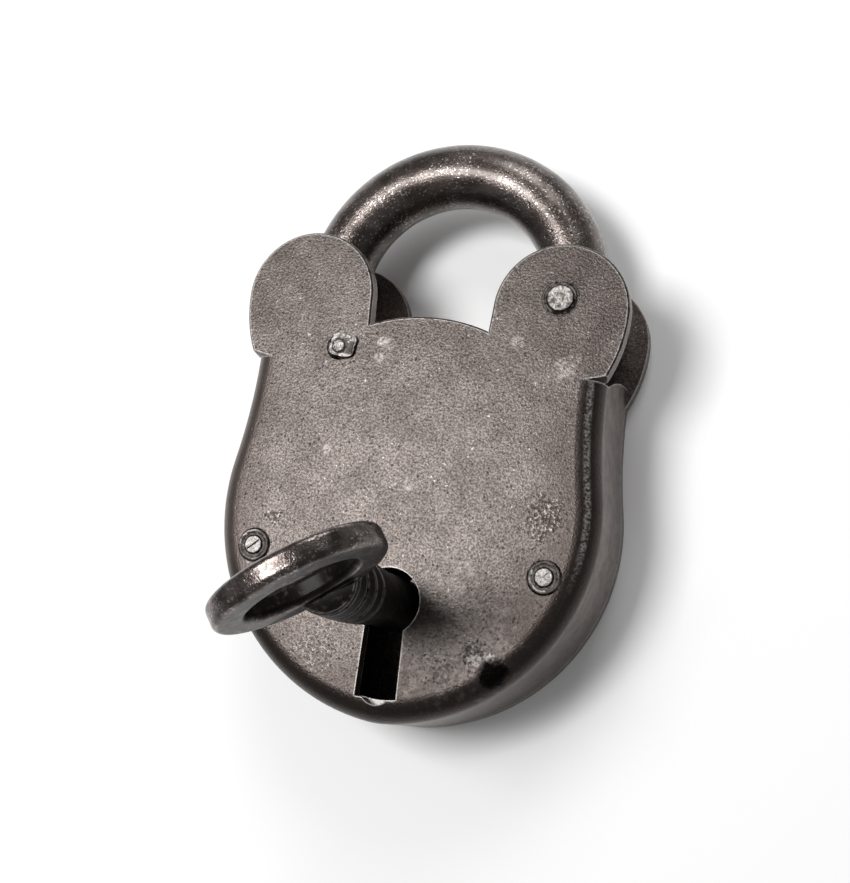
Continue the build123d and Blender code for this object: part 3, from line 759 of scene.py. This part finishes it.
@dataclass(frozen=True)
class ForgedIron:
    """Dark forged iron, polished by handling, with a scatter of bright rubs."""

    name: str
    tone: Colour = (0.162, 0.137, 0.125)
    dark: Colour = (0.045, 0.034, 0.0295)
    bare: Colour = (0.55, 0.505, 0.48)
    roughness: float = 0.2
    relief_depth: float = 0.00009
    mottle: float = 200.0
    gloss: float = 0.4
    speckle_share: float = 0.35
    pit_share: float = 0.7
    fleck_share: float = 0.5
    edge_share: float = 0.4
    painted_shade: PaintedShade | None = None

    def build(self, effects: Effects) -> bpy.types.Material:
        """Makes the material.

        Args:
            effects: The shared effects.

        Returns:
            The material.
        """
        material, bench, shader = new_material(self.name, 0.9)
        grain = bench.use(effects.grain, Mottle_Scale=self.mottle, Speckle_Scale=3000.0)
        edge = bench.use(effects.wear, Radius=0.0006).outputs["Edge"]
        pit = bench.use(effects.pits, Scale=900.0, Share=0.22).outputs["Pit"]
        fleck = bench.use(effects.flecks, Scale=2400.0, Share=0.6).outputs["Fleck"]
        shade = bench.mix(grain.outputs["Mottle"], self.dark, self.tone)
        shade = bench.mix(bench.times(grain.outputs["Speckle"], self.speckle_share), shade, self.dark)
        shade = bench.mix(bench.times(pit, self.pit_share), shade, self.dark)
        shade = bench.mix(bench.times(fleck, self.fleck_share), shade, self.bare)
        rough = bench.blend(grain.outputs["Mottle"], self.roughness + 0.08, self.roughness)
        if self.painted_shade:
            shade, rough = self.painted_shade.lay(bench, shade, rough, self.dark)
        shade = bench.mix(bench.times(edge, self.edge_share), shade, self.bare)
        height = bench.calc("MULTIPLY_ADD", pit, -0.8, grain.outputs["Height"])
        Surface(shade, rough, height, self.gloss).show(bench, shader, self.relief_depth)
        shader.inputs["Specular IOR Level"].default_value = WORN_SPECULAR
        return material


@dataclass(frozen=True)
class PlainMetal:
    """Machined or drawn metal inside the case."""

    name: str
    tone: Colour
    dark: Colour
    roughness: float = 0.35
    relief_depth: float = 0.00002
    scratch_share: float = 0.4

    def build(self, effects: Effects) -> bpy.types.Material:
        """Makes the material.

        Args:
            effects: The shared effects.

        Returns:
            The material.
        """
        material, bench, shader = new_material(self.name, 0.95)
        grain = bench.use(effects.grain, Mottle_Scale=700.0, Speckle_Scale=5200.0)
        scratches = bench.use(effects.scratches, Turn=(0.0, 0.0, 0.3), Scale=3200.0, Share=0.6)
        shade = bench.mix(grain.outputs["Mottle"], self.dark, self.tone)
        scratch_mask = bench.times(scratches.outputs["Scratch"], self.scratch_share)
        shade = bench.mix(scratch_mask, shade, self.dark)
        rough = bench.blend(grain.outputs["Speckle"], self.roughness + 0.1, self.roughness)
        Surface(shade, rough, grain.outputs["Height"]).show(bench, shader, self.relief_depth)
        return material


@dataclass(frozen=True)
class PeenedSteel:
    """Steel of the hammered rivet heads: bright where the hammer struck and in painted highlights, black in
    the gaps and in painted shadows.
    """

    name: str
    bright: Colour = (0.5, 0.47, 0.45)
    dull: Colour = (0.11, 0.095, 0.088)
    black: Colour = (0.006, 0.004, 0.004)
    roughness: float = 0.3
    relief_depth: float = 0.00022
    unevenness: float = 0.45

    def build(self, effects: Effects) -> bpy.types.Material:
        """Makes the material.

        Args:
            effects: The shared effects.

        Returns:
            The material.
        """
        material, bench, shader = new_material(self.name, 0.9)
        grain = bench.use(effects.grain, Mottle_Scale=1500.0, Speckle_Scale=3200.0)
        wear_and_light = bench.node("ShaderNodeAttribute", attribute_name=WEAR_AND_LIGHT)
        uneven = bench.calc("SUBTRACT", grain.outputs["Mottle"], 0.5)
        share = bench.calc("MULTIPLY_ADD", uneven, self.unevenness, wear_and_light.outputs["Fac"])
        shade = bench.mix(bench.ramp(share, 0.05, 0.45), self.black, self.dull)
        shade = bench.mix(bench.ramp(share, 0.6, 1.0), shade, self.bright)
        rough = bench.blend(grain.outputs["Speckle"], self.roughness + 0.15, self.roughness)
        Surface(shade, rough, grain.outputs["Height"]).show(bench, shader, self.relief_depth)
        return material


# ------------------------------------------------------------------ the lock
FACE_MARKS = (
    # A broad faint rub about the keyhole that is mostly painted light on the lower face.
    FaceMark(Mark.RUB_AND_LIGHT, 10.0, -18.5, 11.0, 0.2),
    # A broad faint lightening over the upper left ear.
    FaceMark(Mark.RUB_AND_LIGHT, -19.5, 41.5, 10.5, 0.07),
    FaceMark(Mark.RUB_AND_LIGHT, -7.4, 27.1, 1.2, 0.45),
    FaceMark(Mark.RUB_AND_LIGHT, -7.4, 24.4, 1.1, 0.4),
    FaceMark(Mark.RUB_AND_LIGHT, 15.3, 28.4, 1.6, 0.35),
    FaceMark(Mark.RUB_AND_LIGHT, 23.7, 24.9, 2.3, 0.35),
    FaceMark(Mark.RUB_AND_LIGHT, -14.5, 8.6, 1.0, 0.3),
    FaceMark(Mark.RUB_AND_LIGHT, 0.6, 3.5, 1.3, 0.25),
    FaceMark(Mark.PITTED, 23.4, 0.8, 3.8, 0.7),
    FaceMark(Mark.PITTED, -21.6, -3.6, 1.7, 0.7),
    FaceMark(Mark.PITTED, 15.2, -21.6, 2.4, 0.9),
    FaceMark(Mark.RUB_AND_LIGHT, 15.6, -22.4, 1.4, 0.8),
    FaceMark(Mark.RUB_AND_LIGHT, 17.6, -21.6, 1.2, 0.8),
    FaceMark(Mark.PITTED, -10.8, -23.9, 4.0, 0.35),
    FaceMark(Mark.STAIN, 18.6, -24.0, 3.0),
    FaceMark(Mark.DULL, 10.3, -25.0, 2.2, 0.6),
)


def key_painted_shade() -> PaintedShade:
    """The painted shade about the key ring's opening and down from the barrel's end."""
    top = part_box("key")[1].z
    return PaintedShade(
        ring_centre=(-0.00107, -0.01554, top - 0.0107), ring_reach=(0.0085, 0.0085, 0.0058),
        barrel_top=top - 0.0165,
    )


@dataclass
class LockFinishes:
    """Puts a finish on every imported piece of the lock."""

    effects: Effects
    made: dict[str, bpy.types.Material] = field(default_factory=dict)

    def mix_all(self) -> None:
        """Makes each slot's material once."""
        finishes = {
            "shell_steel": SheetSteel(
                "shell_steel", (0.067, 0.0572, 0.0523), (0.047, 0.0395, 0.036), marks=FACE_MARKS,
                patina_and_light=PatinaAndLight(),
            ),
            # Painted light: the back plate gets a lighter copy of the sheet steel because it lies in the
            # front's shade.
            "plate_steel": SheetSteel("plate_steel", (0.2, 0.165, 0.152), (0.115, 0.093, 0.085)),
            "shackle_iron": ForgedIron("shackle_iron"),
            "key_iron": ForgedIron(
                "key_iron", (0.18, 0.157, 0.146), (0.05, 0.04, 0.036), roughness=0.14, relief_depth=0.00005,
                mottle=420.0, gloss=0.08, painted_shade=key_painted_shade(),
            ),
            "rivet_steel": PeenedSteel("rivet_steel"),
            "pin_steel": PlainMetal("pin_steel", (0.50, 0.48, 0.47), (0.30, 0.28, 0.27)),
            "bolt_brass": PlainMetal("bolt_brass", (0.55, 0.41, 0.19), (0.33, 0.23, 0.10), 0.42),
            "lever_brass": PlainMetal("lever_brass", (0.62, 0.47, 0.22), (0.42, 0.30, 0.13), 0.38),
            "spring_steel": PlainMetal("spring_steel", (0.27, 0.29, 0.34), (0.13, 0.14, 0.18), 0.28),
        }
        for slot, finish in finishes.items():
            self.made[slot] = finish.build(self.effects)

    def dress(self) -> None:
        """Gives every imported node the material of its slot."""
        for row in frame["record"]["subparts"]:
            node = frame["nodes"][row["node"]]
            node.data.materials.clear()
            node.data.materials.append(self.made[row["material_slot"]])
            log.info("%s: %s", row["node"], row["material_slot"])


# ------------------------------------------------------------------ hammered rivets
FULL = 4.0  # an arc's reach, in radians, that goes right round


@dataclass(frozen=True)
class Arc:
    """Part of a ring on a rivet's head: where it lies, how far round it goes and how bright it is; arcs that
    face one way are painted highlights and painted shadows.
    """

    radius: float
    width: float
    facing: float
    reach: float  # half the angle that it covers, in radians
    polish_and_light: float


@dataclass(frozen=True)
class Rivet:
    """One riveted pin: its head is turned from a section and then hammered.

    Lengths are in millimetres and heights are above the front face. Dents and chips are how many the
    hammer leaves in a millimetre, and sinking is how far the blows lower the head, as a share of their depth.
    """

    name: str
    node: str
    x: float
    y: float
    shank: float
    section: tuple[tuple[float, float], ...]
    middle: float
    arcs: tuple[Arc, ...] = ()
    crown: float = 1.0
    skirt: float = 0.5
    blow: float = 0.09
    dents: float = 1.5
    chips: float = 4.0
    chip_share: float = 0.6
    sinking: float = 0.5
    tail_flare: float = 0.8
    tail_polish: float = 0.65
    gap_offset: float = 0.1
    gap_width: float = 0.12
    gap_depth: float = 0.9
    arc_fade: float = 0.4
    hammered_from: float = 0.02
    weld: float = 0.0005
    steps: int = 72

    def polish_and_light(self, along: float, across: float) -> float:
        """How bright the head is at a point: 1 where it is struck bare and in painted highlights, 0 in the
        painted shade of the gap and in painted shadows.

        Args:
            along: Distance from the axis along x.
            across: Distance from the axis along y.

        Returns:
            The brightness.
        """
        radius = math.hypot(along, across)
        turn = math.atan2(across, along)
        # The gap's dark ring is painted shade between the head and its hole.
        gap = math.exp(-(((radius - self.middle - self.gap_offset) / self.gap_width) ** 2))
        value = (self.crown if radius < self.middle else self.skirt) * (1 - self.gap_depth * gap)
        for arc in self.arcs:
            off = abs((turn - arc.facing + math.pi) % math.tau - math.pi)
            inside = min(max((arc.reach - off) / self.arc_fade, 0.0), 1.0)
            share = inside * math.exp(-(((radius - arc.radius) / arc.width) ** 2))
            value += (arc.polish_and_light - value) * share
        return value

    def form(self, along: float, across: float, height: float) -> Point:
        """Moves one point of the head.

        Args:
            along: Distance from the axis along x.
            across: Distance from the axis along y.
            height: Height above the front face.

        Returns:
            The point after hammering, in the same terms.
        """
        dent = noise.noise(Vector((along * self.dents + self.x, across * self.dents + self.y, 0.3)))
        chip = noise.noise(Vector((along * self.chips, across * self.chips, self.x)))
        return along, across, height + self.blow * (dent + self.chip_share * chip - self.sinking)

    def build(self, material: bpy.types.Material) -> bpy.types.Object:
        """Makes the rivet and puts it in the place of its node.

        Args:
            material: Its finish.

        Returns:
            The new object.
        """
        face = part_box("front_shell")[1].z / MM
        outline = [(0.0, self.section[0][1] + face)]
        outline += [(radius, height + face) for radius, height in self.section]
        outline += [(self.shank, face), (self.shank, self.tail_flare)]
        outline += [(self.shank + self.tail_flare, 0.0), (0.0, 0.0)]
        shape = bmesh.new()
        points = [shape.verts.new((radius, 0.0, height)) for radius, height in outline]
        edges = [shape.edges.new(pair) for pair in zip(points, points[1:])]
        bmesh.ops.spin(
            shape, geom=points + edges, cent=(0, 0, 0), axis=(0, 0, 1), angle=math.tau, steps=self.steps,
            use_merge=True,
        )
        bmesh.ops.remove_doubles(shape, verts=shape.verts, dist=self.weld)
        bmesh.ops.recalc_face_normals(shape, faces=shape.faces)
        wear_and_light = shape.verts.layers.float.new(WEAR_AND_LIGHT)
        for point in shape.verts:
            on_head = point.co.z > face / 2
            point[wear_and_light] = self.polish_and_light(point.co.x, point.co.y) if on_head else self.tail_polish
            if point.co.z > face + self.hammered_from:
                along, across, height = self.form(point.co.x, point.co.y, point.co.z - face)
                point.co = (along, across, height + face)
        bmesh.ops.translate(shape, verts=shape.verts, vec=(self.x, self.y, 0.0))
        bmesh.ops.scale(shape, verts=shape.verts, vec=(MM, MM, MM))
        mesh = bpy.data.meshes.new(self.name)
        shape.to_mesh(mesh)
        shape.free()
        mesh.shade_smooth()
        mesh.materials.append(material)
        rivet = bpy.data.objects.new(self.name, mesh)
        bpy.context.scene.collection.objects.link(rivet)
        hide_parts(self.node)
        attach(rivet, "case")
        log.info("%s: %d faces", self.name, len(mesh.polygons))
        return rivet


@dataclass(frozen=True)
class ScoredRivet(Rivet):
    """A rivet with a score across its middle."""

    score_turn: float = 0.72
    score_length: float = 1.3
    score_depth: float = 0.22
    score_width: float = 0.09
    score_shade: float = 0.1

    def score(self, along: float, across: float, width: float) -> float:
        """How far a point is inside the score: 1 at its bottom and 0 outside.

        Args:
            along: Distance from the axis along x.
            across: Distance from the axis along y.
            width: Half width of the score.

        Returns:
            The share.
        """
        if math.hypot(along, across) >= self.score_length:
            return 0.0
        beside = across * math.cos(self.score_turn) - along * math.sin(self.score_turn)
        return math.exp(-((beside / width) ** 2))

    def form(self, along: float, across: float, height: float) -> Point:
        """Hammers the point, then cuts the score; see Rivet.form for what goes in and out."""
        along, across, height = super().form(along, across, height)
        return along, across, height - self.score_depth * self.score(along, across, self.score_width)

    def polish_and_light(self, along: float, across: float) -> float:
        """Paints shade into the score; see Rivet.polish_and_light for what goes in and out."""
        return super().polish_and_light(along, across) * (1 - self.score(along, across, self.score_shade))


@dataclass(frozen=True)
class StruckRivet(Rivet):
    """A rivet struck from one side: a rough squarish lump with a torn lip."""

    drift: tuple[float, float] = (0.62, 0.3)
    spread: tuple[float, float] = (0.12, 0.02)
    skirt_start: float = 1.1
    skirt_run: float = 0.8
    squareness: float = 0.09
    raggedness: float = 0.05
    lip: float = 0.42
    lip_radius: float = 2.1
    lip_width: float = 0.2
    lip_facing: float = 0.45

    def form(self, along: float, across: float, height: float) -> Point:
        """Squares and shifts the skirt and raises the lip, leaving the middle where it is.

        Args:
            along: Distance from the axis along x.
            across: Distance from the axis along y.
            height: Height above the front face.

        Returns:
            The point after hammering, in the same terms.
        """
        radius = math.hypot(along, across)
        turn = math.atan2(across, along)
        outer = min(max((radius - self.skirt_start) / self.skirt_run, 0.0), 1.0)
        square = 1.0 + self.squareness * outer * -math.cos(4 * turn + 0.5)
        tear = noise.noise(Vector((math.cos(turn) * 3, math.sin(turn) * 3, 1.7)))
        torn = 1.0 + self.raggedness * outer * tear
        along = along * square * torn * (1 + self.spread[0] * outer) + self.drift[0] * outer
        across = across * square * torn * (1 + self.spread[1] * outer) + self.drift[1] * outer
        facing = max(0.0, math.cos(turn - self.lip_facing)) ** 1.5
        ridge = math.exp(-(((radius - self.lip_radius) / self.lip_width) ** 2)) * facing
        rough = 0.75 + 0.5 * noise.noise(Vector((along * 3, across * 3, 2.0)))
        along, across, height = super().form(along, across, height)
        return along, across, height + self.lip * ridge * rough


def disc(radius: float, height: float, rings: int) -> list[tuple[float, float]]:
    """Section points of a level disc, from near its middle to its rim.

    Args:
        radius: The disc's radius.
        height: Its height.
        rings: Number of points.

    Returns:
        Radius and height of each point.
    """
    return [(radius * (i + 1) / rings, height) for i in range(rings)]


def axis(node: str, aside: tuple[float, float]) -> tuple[float, float]:
    """Where a rivet's axis stands, from the CAD rivet that it replaces.

    Args:
        node: The CAD rivet.
        aside: How far the axis is from the middle of that rivet's box, in millimetres.

    Returns:
        Its x and y in millimetres.
    """
    low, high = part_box(node)
    return (low.x + high.x) / 2 / MM + aside[0], (low.y + high.y) / 2 / MM + aside[1]


def rivets() -> list[Rivet]:
    """The four rivets whose heads show on the front face.

    Returns:
        The rivets.
    """
    ringed = (
        *disc(1.3, 0.6, 16), (1.38, 0.52), (1.45, 0.36), (1.53, 0.28), (1.65, 0.24), (1.8, 0.25),
        (1.95, 0.3), (2.05, 0.35), (2.15, 0.4), (2.25, 0.45), (2.35, 0.47), (2.45, 0.46), (2.53, 0.4),
        (2.6, 0.28), (2.65, 0.12), (2.72, 0.08), (2.8, 0.06), (2.82, 0.0), (2.2, 0.0),
    )
    flat = (
        *disc(1.9, 0.3, 18), (1.98, 0.33), (2.05, 0.34), (2.12, 0.28), (2.17, 0.12), (2.2, -0.04),
        (2.27, -0.06), (2.38, 0.02), (2.5, 0.07), (2.6, 0.05), (2.67, -0.04), (2.73, -0.05), (2.8, 0.03),
        (2.95, 0.05), (3.1, 0.05), (3.14, 0.0),
    )
    struck = (
        *disc(0.85, 0.88, 9), (0.98, 0.84), (1.08, 0.72), (1.16, 0.56), (1.28, 0.5), (1.45, 0.5), (1.6, 0.5),
        (1.75, 0.51), (1.9, 0.52), (2.02, 0.52), (2.12, 0.5), (2.2, 0.42), (2.25, 0.28), (2.26, 0.12),
        (2.26, 0.0), (2.0, 0.0),
    )
    # Arcs that face one way are painted highlights on the side towards the lamp and painted shadows on the
    # far side; full rings are polish and painted shade in grooves.
    left_arcs = (
        Arc(2.38, 0.13, 2.3, 1.1, 1.0), Arc(2.45, 0.16, -1.6, 0.5, 0.95),
        Arc(2.7, 0.12, -0.2, 1.5, 0.0), Arc(2.72, 0.1, -2.3, 0.6, 0.0),
    )
    right_arcs = (
        Arc(2.15, 0.13, -2.5, 1.4, 1.0), Arc(2.7, 0.12, -1.9, 1.5, 0.0), Arc(2.7, 0.1, 0.7, 1.0, 0.15),
    )
    hinge_arcs = (
        Arc(2.7, 0.08, 0.0, FULL, 0.05), Arc(2.45, 0.2, -1.0, 1.3, 0.0), Arc(2.95, 0.12, 0.0, FULL, 0.36),
    )
    stop_arcs = (
        Arc(1.15, 0.16, 0.0, FULL, 0.6), Arc(2.1, 0.25, 0.5, 0.8, 1.0),
        Arc(1.7, 0.3, -0.3, 0.8, 0.3), Arc(2.25, 0.1, -1.2, 1.2, 0.1),
    )
    return [
        ScoredRivet(
            "left_case_rivet", "case_rivet_left", *axis("case_rivet_left", (0.25, -0.15)), shank=1.6,
            section=ringed, middle=1.4, arcs=left_arcs, crown=1.1,
        ),
        Rivet(
            "right_case_rivet", "case_rivet_right", *axis("case_rivet_right", (0.15, 0.05)), shank=1.6,
            section=ringed, middle=1.4, arcs=right_arcs, crown=1.05, blow=0.13,
        ),
        Rivet(
            "hinge_rivet", "shackle_rivet", *axis("shackle_rivet", (0.0, 0.0)), shank=3.0,
            section=flat, middle=2.08, arcs=hinge_arcs, crown=0.86, skirt=0.42, blow=0.12,
        ),
        StruckRivet(
            "stop_rivet", "guide_rivet", *axis("guide_rivet", (-0.1673, -0.0142)), shank=1.75,
            section=struck, middle=1.05, arcs=stop_arcs, crown=0.85, skirt=0.78, blow=0.1,
        ),
    ]


# ------------------------------------------------------------------ studio
@dataclass(frozen=True)
class Lamp:
    """One square soft lamp: where it hangs, what it points at, the length of its side and its power."""

    name: str
    spot: Point
    aim: Point
    size: float
    watts: float

    def hang(self) -> None:
        """Adds the lamp to the scene."""
        light = bpy.data.lights.new(self.name, "AREA")
        light.shape = "SQUARE"
        light.size = self.size
        light.energy = self.watts
        lamp = bpy.data.objects.new(self.name, light)
        lamp.location = self.spot
        towards = Vector(self.aim) - Vector(self.spot)
        lamp.rotation_euler = towards.to_track_quat("-Z", "Y").to_euler()
        bpy.context.scene.collection.objects.link(lamp)


@dataclass(frozen=True)
class Studio:
    """A pale floor, two soft lamps, a grey surround and the camera."""

    floor_half: float = 3.0
    floor_tone: Colour = (0.96, 0.96, 0.96)
    floor_gap: float = 0.00005
    eye: Point = (0.07628, -0.02822, 0.24281)
    across: Point = (0.9457, 0.1443, -0.2912)
    upright: Point = (-0.0863, 0.9753, 0.2031)
    focal_length: float = 60.09
    sensor: float = 36.0
    surround: float = 0.26
    lamps: tuple[Lamp, ...] = (
        Lamp("overhead", (-0.265, 0.055, 0.745), (0.0, 0.0, 0.0), 0.28, 4.8),
        Lamp("far_fill", (0.04, 0.55, 0.42), (0.0, 0.02, 0.02), 0.3, 1.3),
    )

    def floor(self) -> None:
        """Lays the floor that the lock lies on."""
        mesh = bpy.data.meshes.new("floor")
        shape = bmesh.new()
        bmesh.ops.create_grid(shape, x_segments=1, y_segments=1, size=self.floor_half)
        bmesh.ops.translate(shape, verts=shape.verts, vec=(0.0, 0.0, -self.floor_gap))
        shape.to_mesh(mesh)
        shape.free()
        ground = bpy.data.objects.new("floor", mesh)
        bpy.context.scene.collection.objects.link(ground)
        material, _, shader = new_material("floor_paper", 0.0)
        shader.inputs["Base Color"].default_value = (*self.floor_tone, 1.0)
        shader.inputs["Roughness"].default_value = 0.9
        mesh.materials.append(material)

    def lights(self) -> None:
        """Hangs the lamps and makes the grey surround."""
        for lamp in self.lamps:
            lamp.hang()
        world = bpy.data.worlds.new("surround")
        world.use_nodes = True
        back = world.node_tree.nodes["Background"]
        back.inputs["Color"].default_value = (self.surround, self.surround, self.surround, 1.0)
        bpy.context.scene.world = world

    def camera(self) -> None:
        """Sets up the camera."""
        data = bpy.data.cameras.new("camera")
        data.sensor_width = self.sensor
        data.lens = self.focal_length
        data.clip_start = 0.01
        right = Vector(self.across).normalized()
        back = right.cross(Vector(self.upright)).normalized()
        up = back.cross(right)
        turn = Matrix((right, up, back)).transposed().to_4x4()
        camera = bpy.data.objects.new("camera", data)
        camera.matrix_world = Matrix.Translation(self.eye) @ turn
        bpy.context.scene.collection.objects.link(camera)
        bpy.context.scene.camera = camera


def main() -> None:
    """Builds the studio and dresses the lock."""
    logging.basicConfig(level=logging.INFO, format="%(name)s %(message)s")
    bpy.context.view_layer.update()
    scene = bpy.context.scene
    scene.view_settings.view_transform = "Standard"
    studio = Studio()
    studio.camera()
    studio.floor()
    studio.lights()
    finishes = LockFinishes(Effects())
    finishes.mix_all()
    finishes.dress()
    for rivet in rivets():
        rivet.build(finishes.made["rivet_steel"])


if __name__ == "__main__":
    main()
